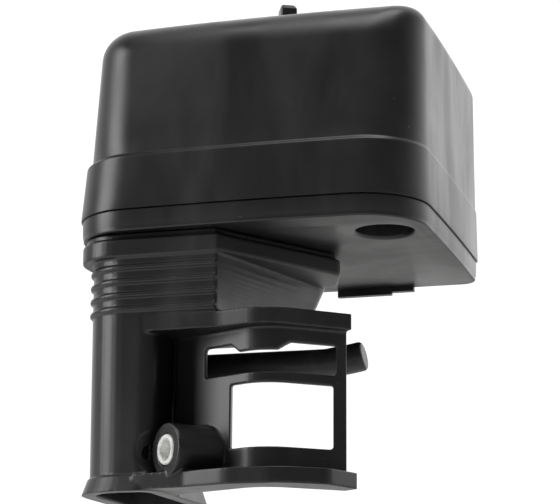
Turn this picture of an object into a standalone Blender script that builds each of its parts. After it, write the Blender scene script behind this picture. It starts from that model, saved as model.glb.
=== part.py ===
"""Air filter housing of a small engine: a moulded cover and tray around a paper and foam element,
on a moulded elbow that carries the air down to the carburettor. Lengths in metres, +Z up, front at -Y.
The part's own origin is on the carburettor gasket, behind and above its bore; the pieces are laid out around
the tray's centre at the parting line of cover and tray, under an empty that carries the offset."""

import math

import bmesh
import bpy
from mathutils import Vector

MM = 0.001
GAP = 0.3 * MM  # between pieces that touch
SMOOTH, ROUND, FINE, COARSE = 48, 32, 24, 16  # sides of large, small and smallest round shapes

# Box: cover and tray share one plan, with wide front corners and tighter back ones
BOX_WIDTH = 157 * MM
BOX_DEPTH = 144 * MM
FRONT_RADIUS = 28 * MM
BACK_RADIUS = 9 * MM
FRONT_BOW = 2.4 * MM
SIDE_BOW = 1.0 * MM
COVER_WALL = 2.4 * MM
SKIRT_HEIGHT = 23.5 * MM
STEP_RISE = 2.2 * MM
COVER_HEIGHT = 89.5 * MM
TOP_CROWN = 1.6 * MM
TOP_CROWN_INSET = 22 * MM
# Each side of the cover: how far its skirt leans in, its step, its draft and its top edge's radius
LEFT_SIDE = (2.1 * MM, 2.4 * MM, math.radians(3.2), 13.5 * MM)
RIGHT_SIDE = (0.3 * MM, 0.5 * MM, math.radians(0.2), 8 * MM)
FRONT_SIDE = (0.9 * MM, 1.9 * MM, math.radians(4.6), 18 * MM)
BACK_SIDE = (0.3 * MM, 0.6 * MM, math.radians(0.2), 8 * MM)
TRAY_HEIGHT = 9.5 * MM
TRAY_INSET = 0.95 * MM
TRAY_WALL = 2.5 * MM
TRAY_FLOOR = TRAY_WALL - TRAY_HEIGHT
LIP_HEIGHT = 6 * MM
LIP_WALL = 2 * MM
LIP_GAP = 0.9 * MM

# Tray openings and the tab that hangs at the back
INTAKE_AT = (58 * MM, -40 * MM)
INTAKE_BORE = 25 * MM
INTAKE_PIPE_HEIGHT = 12 * MM
INTAKE_PIPE_WALL = 1.6 * MM
DUCT_AT = (-21 * MM, -10 * MM)
DUCT_BORE = 28 * MM
TRAY_SCREWS = ((-58 * MM, -50 * MM), (-60 * MM, 12 * MM), (2 * MM, 20 * MM))
TAB_X = (8.5 * MM, 35.5 * MM)
TAB_DROP = 3.6 * MM
TAB_STEP_DROP = 2.4 * MM
TAB_STEP_LENGTH = 11 * MM
TAB_INSET = (2 * MM, 5.5 * MM)
TRAY_EDGE = 1.4 * MM
TRAY_EDGE_IN = 1.2 * MM
TRAY_LEAN = 0.2 * MM
INTAKE_LEAD = 2 * MM
SCREW_SHANK = 2.8 * MM
SCREW_HEAD = 8 * MM
SCREW_HEAD_HEIGHT = 2.3 * MM
SCREW_LENGTH = 4 * MM
SCREW_TRAY_HOLE = 4.6 * MM
SCREW_ELBOW_HOLE = 3.4 * MM

# Stud, nuts and washers on the box's centre line
STUD_DIAMETER = 6 * MM
STUD_TIP = 107 * MM
PITCH_CLEARANCE = 0.8 * MM
WING_HUB = 13 * MM
WING_SPAN = 28 * MM
WING_THICKNESS = 3.4 * MM
KNOB_THICKNESS = 7.6 * MM
WING_EDGE = 1.2 * MM
WING_TOP_SHARE = 0.42
WING_ANGLE = math.radians(-62)
COVER_NUT_BASE = 94.4 * MM
COVER_NUT_HEIGHT = 16 * MM
ELEMENT_NUT_HEIGHT = 13 * MM

# Filter element: paper between two moulded seals, a screen inside and a foam sleeve outside
ELEMENT_RADIUS = 48.5 * MM
ELEMENT_BORE_RADIUS = 37 * MM
ELEMENT_HEIGHT = 60 * MM
SEAL_HEIGHT = 6 * MM
TOP_PLATE = 2.5 * MM
SCREEN_WALL = 1 * MM
FOAM_WALL = 6.4 * MM
PLEATS = 36

# Elbow: top flange, ribbed box, column, hood, window frame and bottom rim
ELBOW_WALL = 3 * MM
FLANGE_TOP = -(9.5 * MM + GAP)
STEP_HEIGHT = 2.7 * MM
FLANGE_BOTTOM = -20.5 * MM
SIDE_FLANGE_BOTTOM = -15.4 * MM
ELBOW_LEFT = -70.8 * MM
ELBOW_FRONT = -68.6 * MM
ELBOW_RIGHT = -8.5 * MM
ELBOW_CORNER = 20 * MM
ELBOW_EDGE = 1.2 * MM
ELBOW_BACK_CORNERS = (8 * MM, 12 * MM)
ELBOW_ROOF = 4.5 * MM
STEP_IN = 1.6 * MM
SIDE_FLANGE = ((-30, -49, 0), (-10.6, -49, 0), (17.5, 30, 6), (12, 34, 5), (-30, 34, 0))
SIDE_BAND = ((-30, -69.4, 0), (-7.6, -69.4, 1), (30, -9, 5), (22, 14.5, 6), (-30, 14.5, 0))
SIDE_BAND_STEP = ((-30, -67, 0), (-9.1, -67, 1), (27.6, -8.2, 4), (20.6, 12.9, 5), (-30, 12.9, 0))
SIDE_BAND_LEVELS = (-20.3 * MM, -12.7 * MM, FLANGE_TOP - 0.2 * MM)
FLANGE_OUT = 1.2 * MM
FLANGE_LEFT_OUT = 5 * MM
FUNNEL_BACK = 29 * MM
FLANGE_BACK = 34 * MM
FUNNEL_BOTTOM = -46.6 * MM
FUNNEL_LEVELS = (-40 * MM, -28 * MM)
FUNNEL_CORNERS = ((1.5 * MM, 12 * MM), (9 * MM, 17 * MM), (14.5 * MM, 23 * MM), (19 * MM, FUNNEL_BACK))
RIB_TOP = -24.2 * MM
RIB_PITCH = 6.05 * MM
RIB_HEIGHT = 1.9 * MM
RIB_OUT = 1.3 * MM
RIB_EDGE = 0.6 * MM
RIB_RIGHT_IN = 0.1 * MM
RIBS = 4
COLUMN_RIGHT = -36 * MM
COLUMN_TAPER = 0.8 * MM
COLUMN_CORNERS = (7 * MM, 8 * MM)
COLUMN_BORE = (-108 * MM, -40.6 * MM)
SKIRT_TOP = -111 * MM
COLUMN_BACK = 2 * MM
HOOD_TOP = -46.4 * MM
HOOD_BOTTOM = -53.4 * MM
FRAME_WALL = 3 * MM
RIM_TOP = -114.6 * MM
RIM_BOTTOM = -121.4 * MM
RIM_STEP = 0.6 * MM
RIM_OUT = 1 * MM
RIM_FLARE = 2.4 * MM
UPPER_WINDOW = ((-16.9 * MM, 38.4 * MM), (-72.8 * MM, -60 * MM))
LOWER_WINDOW = ((-3.4 * MM, 37.5 * MM), (-104 * MM, -77.2 * MM))
WINDOW_TAB = ((0.5 * MM, 17.5 * MM), (-4.7 * MM, 23.3 * MM), 3.4 * MM)
FRAME_PATH = [(-37 * MM, -38 * MM), (-33 * MM, -48.8 * MM), (13 * MM, -71 * MM), (42.6 * MM, -46.2 * MM)]
FRAME_RADII = (0.0, 3.2 * MM, 18 * MM, 0.0)
HOOD_PATH = [(-50 * MM, -64 * MM), (-44 * MM, -68.3 * MM), (-36 * MM, -68.7 * MM), (-8 * MM, -69.4 * MM),
             (16 * MM, -75.6 * MM), (45.5 * MM, -48.5 * MM)]
HOOD_RADII = (0.0, 2 * MM, 3 * MM, 25 * MM, 18 * MM, 0.0)
RIM_PATH = [(-44 * MM, -70.6 * MM), (-20 * MM, -74 * MM), (0, -81 * MM), (24 * MM, -81 * MM),
            (41 * MM, -69 * MM), (48 * MM, -50 * MM)]
RIM_RADII = (0.0, 12 * MM, 22 * MM, 20 * MM, 10 * MM, 0.0)

# Mounting boss with its steel collar, breather nipple and carburettor face
BOSS_FACE = Vector((-28.6, -72, -104.7)) * MM
BOSS_TURN = math.radians(40)
BOSS_DIAMETER = 22.4 * MM
BOSS_LENGTH = 21.5 * MM
BOSS_POCKET = 27.5 * MM
COLLAR_DIAMETER = 12.8 * MM
COLLAR_BORE = 9.2 * MM
NIPPLE_END = Vector((43.8, -20, -59.2)) * MM
NIPPLE_DIAMETER = 13 * MM
NIPPLE_SAG = 2.8 * MM
NIPPLE_BEND = 12 * MM
CARB_FACE = Vector((-29.5, -22, -88.5)) * MM
CARB_BORE = 22 * MM
CARB_STUD_SPACING = 33 * MM
CARB_STUD_HOLE = 6.2 * MM
CARB_COLLAR_DIAMETER = 8 * MM
CARB_FLANGE = (46 * MM, 30 * MM)
GASKET = 1 * MM
FACE_POINT = Vector((GAP + GASKET, 10 * MM, 9.5 * MM))

COLOURS = {
    "black_plastic": ((0.018, 0.018, 0.019), 0.42, 0.0),
    "rubber": ((0.02, 0.02, 0.02), 0.75, 0.0),
    "zinc_steel": ((0.62, 0.62, 0.60), 0.35, 1.0),
    "foam": ((0.05, 0.05, 0.055), 0.95, 0.0),
    "filter_paper": ((0.75, 0.62, 0.36), 0.9, 0.0),
    "gasket_paper": ((0.30, 0.30, 0.27), 0.85, 0.0),
    "seal_rubber": ((0.10, 0.10, 0.10), 0.7, 0.0),
}


def start():
    for obj in list(bpy.data.objects):
        bpy.data.objects.remove(obj)
    for title in ("air_filter_housing", "cutters"):
        bpy.context.scene.collection.children.link(bpy.data.collections.new(title))
    frame = bpy.data.objects.new("frame", None)
    frame.location = -(CARB_FACE + FACE_POINT)
    bpy.data.collections["air_filter_housing"].objects.link(frame)
    return frame


def material(name):
    made = bpy.data.materials.get(name)
    if made is None:
        colour, roughness, metallic = COLOURS[name]
        made = bpy.data.materials.new(name)
        made.use_nodes = True
        shader = made.node_tree.nodes["Principled BSDF"]
        shader.inputs["Base Color"].default_value = (*colour, 1)
        shader.inputs["Roughness"].default_value = roughness
        shader.inputs["Metallic"].default_value = metallic
    return made


def place(obj, finish=None):
    """Into the part's collection with its material, or hidden among the cutters."""
    tool = finish is None
    bpy.data.collections["cutters" if tool else "air_filter_housing"].objects.link(obj)
    obj.parent = FRAME
    if tool:
        obj.hide_render = True
        obj.display_type = "WIRE"
    else:
        obj.data.materials.append(material(finish))
        obj.data.shade_smooth()
        obj.data.set_sharp_from_angle(angle=math.radians(35))
    return obj


def from_bmesh(name, shape, finish=None):
    bmesh.ops.recalc_face_normals(shape, faces=shape.faces)
    mesh = bpy.data.meshes.new(name)
    shape.to_mesh(mesh)
    shape.free()
    return place(bpy.data.objects.new(name, mesh), finish)


def rounded(corners, steps=5):
    """A closed outline through corners (x, y, radius), each rounded by its own arc."""
    outline = []
    for index, (x, y, radius) in enumerate(corners):
        here = Vector((x, y))
        back = Vector(corners[index - 1][:2]) - here
        ahead = Vector(corners[(index + 1) % len(corners)][:2]) - here
        back.normalize()
        ahead.normalize()
        if radius <= 0:
            outline.append((x, y))
            continue
        half = back.angle(ahead) / 2
        centre = here + (back + ahead).normalized() * radius / math.sin(half)
        first = here + back * radius / math.tan(half) - centre
        last = here + ahead * radius / math.tan(half) - centre
        turn = first.angle_signed(last)
        for step in range(steps + 1):
            angle = -turn * step / steps
            outline.append((
                centre.x + first.x * math.cos(angle) - first.y * math.sin(angle),
                centre.y + first.x * math.sin(angle) + first.y * math.cos(angle),
            ))
    return outline


def loft(name, sections, finish=None):
    """A closed solid through outlines of equal length, given as (outline, z) from the bottom up."""
    shape = bmesh.new()
    rings = [[shape.verts.new((x, y, z)) for x, y in outline] for outline, z in sections]
    for lower, upper in zip(rings, rings[1:]):
        count = len(lower)
        for index in range(count):
            after = (index + 1) % count
            shape.faces.new((lower[index], lower[after], upper[after], upper[index]))
    shape.faces.new(rings[0][::-1])
    shape.faces.new(rings[-1])
    return from_bmesh(name, shape, finish)


def slab(name, outline, bottom, top, finish=None):
    return loft(name, [(outline, bottom), (outline, top)], finish)


def rectangle(x0, x1, y0, y1, radius=0.0):
    return rounded([(x0, y0, radius), (x1, y0, radius), (x1, y1, radius), (x0, y1, radius)])


def circle(x, y, diameter, count=ROUND):
    angles = [2 * math.pi * index / count for index in range(count)]
    return [(x + diameter / 2 * math.cos(a), y + diameter / 2 * math.sin(a)) for a in angles]


def cylinder(name, centre, axis, diameter, length, finish=None, count=ROUND):
    """A cylinder that starts at centre and runs along axis."""
    obj = slab(name, circle(0, 0, diameter, count), 0, length, finish)
    obj.data.transform(Vector((0, 0, 1)).rotation_difference(axis).to_matrix().to_4x4())
    obj.location = centre
    return obj


def tube(name, bottom, top, outer, inner, finish, count=ROUND):
    """A ring around the centre stud, turned from its section."""
    profile = bmesh.new()
    section = ((inner / 2, bottom), (outer / 2, bottom), (outer / 2, top), (inner / 2, top))
    rings = [[profile.verts.new((r * math.cos(a), r * math.sin(a), z)) for r, z in section]
             for a in (2 * math.pi * index / count for index in range(count))]
    for index, ring in enumerate(rings):
        after = rings[(index + 1) % count]
        for side in range(4):
            ahead = (side + 1) % 4
            profile.faces.new((ring[side], after[side], after[ahead], ring[ahead]))
    return from_bmesh(name, profile, finish)


def combine(obj, tool, operation):
    """Both meshes are closed; the elbow's many shared planes need the MANIFOLD solver."""
    modifier = obj.modifiers.new(tool.name, "BOOLEAN")
    modifier.object = tool
    modifier.operation = operation
    modifier.solver = "MANIFOLD" if obj.name == "intake_elbow" else "EXACT"


def cut(obj, tool):
    combine(obj, tool, "DIFFERENCE")


def join(obj, tool):
    combine(obj, tool, "UNION")


def box_plan(left, right=None, front=None, back=None):
    """The box's plan, each side drawn in by its own distance: straight sides, then the faces bowed out."""
    right, front, back = (left if side is None else side for side in (right, front, back))
    x0, x1 = -BOX_WIDTH / 2 + left, BOX_WIDTH / 2 - right
    y0, y1 = -BOX_DEPTH / 2 + front, BOX_DEPTH / 2 - back
    wide = FRONT_RADIUS - front
    tight = max(BACK_RADIUS - back, 2 * MM)
    outline = rounded([(x0, y0, max(wide, 4 * MM)), (x1, y0, max(wide, 4 * MM)), (x1, y1, tight), (x0, y1, tight)])
    dense = []
    for index, (ax, ay) in enumerate(outline):
        bx, by = outline[(index + 1) % len(outline)]
        parts = 6 if math.hypot(bx - ax, by - ay) > 30 * MM else 1
        dense += [(ax + (bx - ax) * k / parts, ay + (by - ay) * k / parts) for k in range(parts)]
    bowed = []
    for px, py in dense:
        across = max(0.0, 1 - (px / (x1 if px > 0 else x0)) ** 2)
        along = max(0.0, 1 - (py / (y1 if py > 0 else y0)) ** 2)
        front_push = FRONT_BOW * across * max(0.0, py / y0)
        side_push = SIDE_BOW * along * px / (x1 if px > 0 else -x0)
        bowed.append((px + side_push, py - front_push))
    return bowed


def side_inset(side, wall, z):
    """How far one side of the cover stands in from the parting line's outline at a height."""
    lean, step, draft, radius = side
    top = COVER_HEIGHT - wall
    radius -= wall
    foot = SKIRT_HEIGHT - wall / 2
    if z <= foot:
        return wall + lean * max(z, 0.0) / foot
    inset = wall + lean + step + max(z - foot - STEP_RISE, 0.0) * math.tan(draft)
    into_edge = min(max(z - (top - radius), 0.0) / radius, 1.0)
    return inset + radius * (1 - math.sqrt(1 - into_edge ** 2))


def cover_sections(wall):
    """The cover from the parting line up: skirt, step, drafted side, rounded edge, crowned top."""
    top = COVER_HEIGHT - wall
    foot = SKIRT_HEIGHT - wall / 2
    radius = FRONT_SIDE[-1] - wall
    steps = 8
    heights = [0.0 if wall == 0 else -MM, foot, foot + STEP_RISE]
    heights += [top - radius + radius * math.sin(math.pi / 2 * step / steps) for step in range(steps + 1)]
    insets = [[side_inset(side, wall, z) for side in (LEFT_SIDE, RIGHT_SIDE, FRONT_SIDE, BACK_SIDE)]
              for z in heights]
    insets.append([inset + TOP_CROWN_INSET for inset in insets[-1]])
    heights.append(top + TOP_CROWN * 0.75)
    return [(box_plan(*inset), z) for inset, z in zip(insets, heights)]


def make_cover():
    """The cover: a deep moulded lid with a stepped skirt and one hole for the stud."""
    cover = loft("cover", cover_sections(0.0), "black_plastic")
    cut(cover, loft("cover_inside", cover_sections(COVER_WALL)))
    cut(cover, stud_hole("cover_hole", COVER_HEIGHT / 2, 2 * COVER_HEIGHT))


def stud_hole(name, bottom, top):
    return slab(name, circle(0, 0, STUD_DIAMETER + PITCH_CLEARANCE, FINE), bottom, top)


def make_tray():
    """The tray: a shallow dish with a raised lip inside the cover, an intake pipe and a tab at the back."""
    tray = loft("base_tray", [(box_plan(TRAY_INSET + TRAY_EDGE_IN), -TRAY_HEIGHT),
                              (box_plan(TRAY_INSET), -TRAY_HEIGHT + TRAY_EDGE),
                              (box_plan(TRAY_INSET - TRAY_LEAN), -GAP)], "black_plastic")
    lip = COVER_WALL + LIP_GAP
    join(tray, slab("tray_lip", box_plan(lip), TRAY_FLOOR, LIP_HEIGHT))
    cut(tray, slab("tray_inside", box_plan(lip + LIP_WALL), TRAY_FLOOR, 2 * LIP_HEIGHT))
    join(tray, slab("intake_pipe", circle(*INTAKE_AT, INTAKE_BORE + 2 * INTAKE_PIPE_WALL),
                    TRAY_FLOOR - MM, TRAY_FLOOR + INTAKE_PIPE_HEIGHT))
    near, far = (BOX_DEPTH / 2 - inset for inset in TAB_INSET[::-1])
    join(tray, slab("back_tab", rectangle(*TAB_X, near, far), -TRAY_HEIGHT - TAB_DROP, -TRAY_HEIGHT + MM))
    join(tray, slab("tab_step", rectangle(TAB_X[1] - MM, TAB_X[1] + TAB_STEP_LENGTH, near, far),
                    -TRAY_HEIGHT - TAB_STEP_DROP, -TRAY_HEIGHT + MM))
    below = -3 * TRAY_HEIGHT
    cut(tray, slab("intake_bore", circle(*INTAKE_AT, INTAKE_BORE), below, 2 * INTAKE_PIPE_HEIGHT))
    cut(tray, loft("intake_lead", [(circle(*INTAKE_AT, INTAKE_BORE + 2 * INTAKE_LEAD), -TRAY_HEIGHT - MM),
                                   (circle(*INTAKE_AT, INTAKE_BORE - MM), -TRAY_HEIGHT + 0.75 * INTAKE_LEAD)]))
    cut(tray, slab("duct_bore", circle(*DUCT_AT, DUCT_BORE), below, 0))
    cut(tray, stud_hole("tray_stud_hole", below, 0))
    for x, y in TRAY_SCREWS:
        cut(tray, slab("tray_screw_hole", circle(x, y, SCREW_TRAY_HOLE, COARSE), below, 0))


def funnel_sections(inset, bottom, top):
    """The elbow's box from below: square at the front right, drawn out to the back right as a funnel."""
    sections = []
    for (right_back, back), z in zip(FUNNEL_CORNERS, (bottom, *FUNNEL_LEVELS, top)):
        plan = rounded([
            (ELBOW_LEFT + inset, ELBOW_FRONT + inset, ELBOW_CORNER - inset),
            (ELBOW_RIGHT - inset, ELBOW_FRONT + inset, ELBOW_EDGE),
            (right_back - inset, back - inset, ELBOW_BACK_CORNERS[0]),
            (ELBOW_LEFT + inset, back - inset, ELBOW_BACK_CORNERS[1]),
        ])
        sections.append((plan, z))
    return sections


def shifted(points, distance):
    """An open path moved sideways by distance, to its left as it runs."""
    moved = []
    for index, point in enumerate(points):
        here = Vector(point)
        sides = []
        if index > 0:
            sides.append((here - Vector(points[index - 1])).normalized())
        if index < len(points) - 1:
            sides.append((Vector(points[index + 1]) - here).normalized())
        normals = [Vector((-side.y, side.x)) for side in sides]
        mean = sum(normals, Vector((0, 0))).normalized()
        moved.append(here + mean * distance / mean.dot(normals[0]))
    return [(p.x, p.y) for p in moved]


def wall_outline(path, radii, thickness):
    """A wall's plan: the path outside, the same path shifted in by the wall's thickness inside."""
    outside = [(x, y, r) for (x, y), r in zip(path, radii)]
    inside = [(x, y, max(r - thickness, 0.0)) for (x, y), r in zip(shifted(path, thickness), radii)]
    return rounded(outside + inside[::-1])


def ledge_outline(path, radii):
    """A ledge's plan: its own front path, closed along the inner side of the window frame."""
    front = [(x, y, r) for (x, y), r in zip(path, radii)]
    inner = shifted(FRAME_PATH, FRAME_WALL / 2)
    back = [(x, y, max(r - FRAME_WALL / 2, 0.0)) for (x, y), r in zip(inner, FRAME_RADII)]
    return rounded(front + back[::-1])


def grown(corners, distance):
    """A rectangle's corners moved out on every side."""
    mid_x = sum(x for x, _, _ in corners) / len(corners)
    mid_y = sum(y for _, y, _ in corners) / len(corners)
    return rounded([(x + distance * math.copysign(1, x - mid_x), y + distance * math.copysign(1, y - mid_y),
                     r + distance) for x, y, r in corners])


def make_elbow():
    """The elbow: flange, ribbed funnel, column, windowed frame, boss, nipple and carburettor flange."""
    sharp, round_ = ELBOW_EDGE, ELBOW_BACK_CORNERS
    left, front, right = ELBOW_LEFT - FLANGE_LEFT_OUT, ELBOW_FRONT - FLANGE_OUT, ELBOW_RIGHT + FLANGE_OUT
    flange = rounded([(left, front, ELBOW_CORNER), (right, front, sharp),
                      (right, FLANGE_BACK, round_[0]), (left, FLANGE_BACK, round_[1])])
    elbow = slab("intake_elbow", flange, FLANGE_BOTTOM, FLANGE_TOP - STEP_HEIGHT, "black_plastic")
    left, front, right, back = left + STEP_IN, front + STEP_IN, ELBOW_RIGHT, FLANGE_BACK - STEP_IN
    step = rounded([(left, front, ELBOW_CORNER - STEP_IN), (right, front, sharp),
                    (right, back, round_[0] - STEP_IN), (left, back, round_[1] - STEP_IN)])
    join(elbow, slab("flange_step", step, FLANGE_TOP - STEP_HEIGHT - MM, FLANGE_TOP))
    side = rounded([(x * MM, y * MM, r * MM) for x, y, r in SIDE_FLANGE])
    join(elbow, slab("side_flange", side, SIDE_FLANGE_BOTTOM, FLANGE_TOP))
    bottom, ledge, top = SIDE_BAND_LEVELS
    band = rounded([(x * MM, y * MM, r * MM) for x, y, r in SIDE_BAND])
    join(elbow, slab("side_band", band, bottom, ledge))
    band_step = rounded([(x * MM, y * MM, r * MM) for x, y, r in SIDE_BAND_STEP])
    join(elbow, slab("side_band_step", band_step, ledge - MM, top))
    join(elbow, loft("funnel", funnel_sections(0.0, FUNNEL_BOTTOM, FLANGE_TOP - 2 * MM)))
    for rib in range(RIBS):
        top = RIB_TOP - rib * RIB_PITCH
        left, front, right = ELBOW_LEFT - RIB_OUT, ELBOW_FRONT - RIB_OUT, ELBOW_RIGHT - RIB_RIGHT_IN
        plan = rounded([(left, front, ELBOW_CORNER + RIB_OUT), (right, front, RIB_EDGE),
                        (right, 0, RIB_OUT), (left, 0, round_[1])])
        join(elbow, slab(f"rib_{rib + 1}", plan, top - RIB_HEIGHT, top))
    column = [(ELBOW_LEFT, ELBOW_FRONT, ELBOW_CORNER), (COLUMN_RIGHT, ELBOW_FRONT, COLUMN_CORNERS[0]),
              (COLUMN_RIGHT, COLUMN_BACK, COLUMN_CORNERS[1]), (ELBOW_LEFT, COLUMN_BACK, round_[1])]
    foot = [(x + (COLUMN_TAPER if x < COLUMN_RIGHT else 0), y, r) for x, y, r in column]
    post = loft("column", [(rounded(foot), RIM_BOTTOM + 3 * MM), (rounded(column), FUNNEL_BOTTOM + 3 * MM)])
    axis = Vector((-math.sin(BOSS_TURN), -math.cos(BOSS_TURN), 0))
    cut(post, cylinder("boss_pocket", BOSS_FACE - axis * 9 * MM, axis, BOSS_POCKET, 30 * MM))
    join(elbow, post)
    join(elbow, slab("hood", ledge_outline(HOOD_PATH, HOOD_RADII), HOOD_BOTTOM, HOOD_TOP))
    join(elbow, loft("column_rim", [(grown(foot, RIM_OUT + RIM_FLARE), RIM_BOTTOM),
                                    (grown(foot, RIM_OUT), RIM_TOP)]))
    join(elbow, slab("rim", ledge_outline(RIM_PATH, RIM_RADII), RIM_BOTTOM + RIM_STEP, RIM_TOP + RIM_STEP))
    frame = slab("window_frame", wall_outline(FRAME_PATH, FRAME_RADII, FRAME_WALL),
                 RIM_BOTTOM + MM, HOOD_TOP - MM)
    (x0, x1), (z0, z1) = UPPER_WINDOW
    upper = slab("upper_window", rectangle(x0, x1, -90 * MM, -30 * MM), z0, z1)
    (tab0, tab1), (wide0, wide1), tab_drop = WINDOW_TAB
    cut(upper, loft("window_tab", [(rectangle(tab0, tab1, -95 * MM, -20 * MM), z1 - tab_drop),
                                   (rectangle(wide0, wide1, -95 * MM, -20 * MM), z1 + MM)]))
    cut(frame, upper)
    (x0, x1), (z0, z1) = LOWER_WINDOW
    cut(frame, slab("lower_window", rectangle(x0, x1, -90 * MM, -30 * MM), z0, z1))
    join(elbow, frame)
    join(elbow, cylinder("boss", BOSS_FACE, -axis, BOSS_DIAMETER, BOSS_LENGTH))
    join(elbow, nipple())
    join(elbow, carb_flange("carb_flange", COLUMN_RIGHT - 2 * MM, CARB_FACE.x, 0.0))
    inside = ELBOW_WALL
    cut(elbow, loft("duct", funnel_sections(inside, FUNNEL_BOTTOM + inside, FLANGE_TOP - ELBOW_ROOF)))
    bore = grown(foot, -inside)
    cut(elbow, slab("column_bore", bore, *COLUMN_BORE))
    cut(elbow, slab("skirt_bore", bore, RIM_BOTTOM - MM, SKIRT_TOP))
    cut(elbow, slab("duct_mouth", circle(*DUCT_AT, DUCT_BORE), 2 * FLANGE_TOP, 0))
    cut(elbow, stud_hole("elbow_stud_hole", 2 * FLANGE_TOP, 0))
    for x, y in TRAY_SCREWS:
        hole = circle(x, y, SCREW_ELBOW_HOLE, COARSE)
        cut(elbow, slab("elbow_screw_hole", hole, FLANGE_TOP - SCREW_LENGTH - GAP, 0))
    cut(elbow, cylinder("boss_bore", BOSS_FACE + axis * MM, -axis, COLLAR_DIAMETER + 2 * GAP, 40 * MM))
    cut(elbow, cylinder("carb_bore", Vector((-60 * MM, CARB_FACE.y, CARB_FACE.z)), Vector((1, 0, 0)),
                        CARB_BORE, 40 * MM))
    for side in (-1, 1):
        at = Vector((-60 * MM, CARB_FACE.y + side * CARB_STUD_SPACING / 2, CARB_FACE.z))
        cut(elbow, cylinder(f"carb_stud_hole_{side}", at, Vector((1, 0, 0)),
                            CARB_COLLAR_DIAMETER + 2 * GAP, 40 * MM, count=FINE))


def nipple():
    """The breather nipple: level out of the column, then bent up a little; its end is moulded shut."""
    end = NIPPLE_END
    low = end.z - NIPPLE_SAG
    curve = bpy.data.curves.new("nipple", "CURVE")
    curve.dimensions = "3D"
    curve.bevel_depth = NIPPLE_DIAMETER / 2
    curve.bevel_resolution = 6
    curve.use_fill_caps = True
    route = [(COLUMN_RIGHT - 2 * MM, low), (end.x - NIPPLE_BEND - 10 * MM, low),
             (end.x - NIPPLE_BEND, low + NIPPLE_SAG * 0.4), (end.x, end.z)]
    line = curve.splines.new("POLY")
    line.points.add(len(route) - 1)
    for point, (x, z) in zip(line.points, route):
        point.co = (x, end.y, z, 1)
    swept = bpy.data.objects.new("nipple_curve", curve)
    bpy.data.collections["cutters"].objects.link(swept)
    mesh = bpy.data.meshes.new_from_object(swept.evaluated_get(bpy.context.evaluated_depsgraph_get()))
    bpy.data.objects.remove(swept)
    shape = bmesh.new()
    shape.from_mesh(mesh)
    bpy.data.meshes.remove(mesh)
    bmesh.ops.remove_doubles(shape, verts=shape.verts, dist=0.01 * MM)
    return from_bmesh("nipple", shape)


def carb_flange(name, x0, x1, grow, finish=None):
    """The two-eared carburettor flange: an outline in Y and Z, extruded along X."""
    long, tall = CARB_FLANGE
    obj = slab(name, rectangle(-tall / 2 + grow, tall / 2 - grow, -long / 2 + grow, long / 2 - grow, 9 * MM),
               0, x1 - x0, finish)
    turn = Vector((0, 0, 1)).rotation_difference(Vector((1, 0, 0))).to_matrix().to_4x4()
    obj.data.transform(turn)
    obj.location = (x0, CARB_FACE.y, CARB_FACE.z)
    return obj


def make_gaskets():
    gasket = carb_flange("carburettor_gasket", CARB_FACE.x + GAP, CARB_FACE.x + GAP + GASKET, 1.5 * MM,
                         "gasket_paper")
    along = Vector((1, 0, 0))
    cut(gasket, cylinder("gasket_bore", CARB_FACE - along * 10 * MM, along, CARB_BORE + MM, 30 * MM))
    for side in (-1, 1):
        hole = CARB_FACE + Vector((-10 * MM, side * CARB_STUD_SPACING / 2, 0))
        cut(gasket, cylinder(f"gasket_hole_{side}", hole, along, CARB_STUD_HOLE + 0.4 * MM, 30 * MM, count=FINE))
        sleeve = cylinder(f"carburettor_collar_{'front' if side < 0 else 'back'}",
                          Vector((COLUMN_RIGHT - ELBOW_WALL + GAP, hole.y, hole.z)), along,
                          CARB_COLLAR_DIAMETER, CARB_FACE.x - COLUMN_RIGHT + ELBOW_WALL - GAP,
                          "zinc_steel", count=FINE)
        cut(sleeve, cylinder(f"collar_hole_{side}", hole - along * 20 * MM, along, CARB_STUD_HOLE, 50 * MM, count=FINE))


def make_collar():
    axis = Vector((-math.sin(BOSS_TURN), -math.cos(BOSS_TURN), 0))
    collar = cylinder("mount_collar", BOSS_FACE + axis * 0.4 * MM, -axis, COLLAR_DIAMETER, BOSS_LENGTH - MM,
                      "zinc_steel")
    cut(collar, cylinder("mount_collar_bore", BOSS_FACE + axis * 5 * MM, -axis, COLLAR_BORE, 50 * MM))


def wing_nut(name, base, height, hub_height, thickness, finish):
    """A hub with a threaded bore and two wings that sweep up from it."""
    nut = loft(name, [(circle(0, 0, WING_HUB, FINE), 0), (circle(0, 0, WING_HUB - 2 * MM, FINE), hub_height)],
               finish)
    near, far, half = WING_HUB / 2, WING_SPAN / 2, thickness / 2
    thin = WING_TOP_SHARE * thickness
    for side in (1, -1):
        foot = rectangle(2 * MM, near + 1.5 * MM, -half, half, MM)
        tip = rectangle(near - MM, far, -half, half, WING_EDGE)
        top = rectangle(near + MM, far - 2 * MM, -thin, thin, WING_EDGE)
        wing = loft(f"{name}_wing_{side}", [([(side * x, side * y) for x, y in foot], 1.2 * MM),
                                            ([(side * x, side * y) for x, y in tip], height * 0.62),
                                            ([(side * x, side * y) for x, y in tip], height - 2 * MM),
                                            ([(side * x, side * y) for x, y in top], height)])
        wing.location = (0, 0, base)
        wing.rotation_euler.z = WING_ANGLE
        join(nut, wing)
    bore = slab(f"{name}_bore", circle(0, 0, STUD_DIAMETER + 2 * GAP, FINE), -MM, hub_height + MM)
    bore.location = (0, 0, base)
    cut(nut, bore)
    nut.location = (0, 0, base)
    nut.rotation_euler.z = WING_ANGLE


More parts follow.
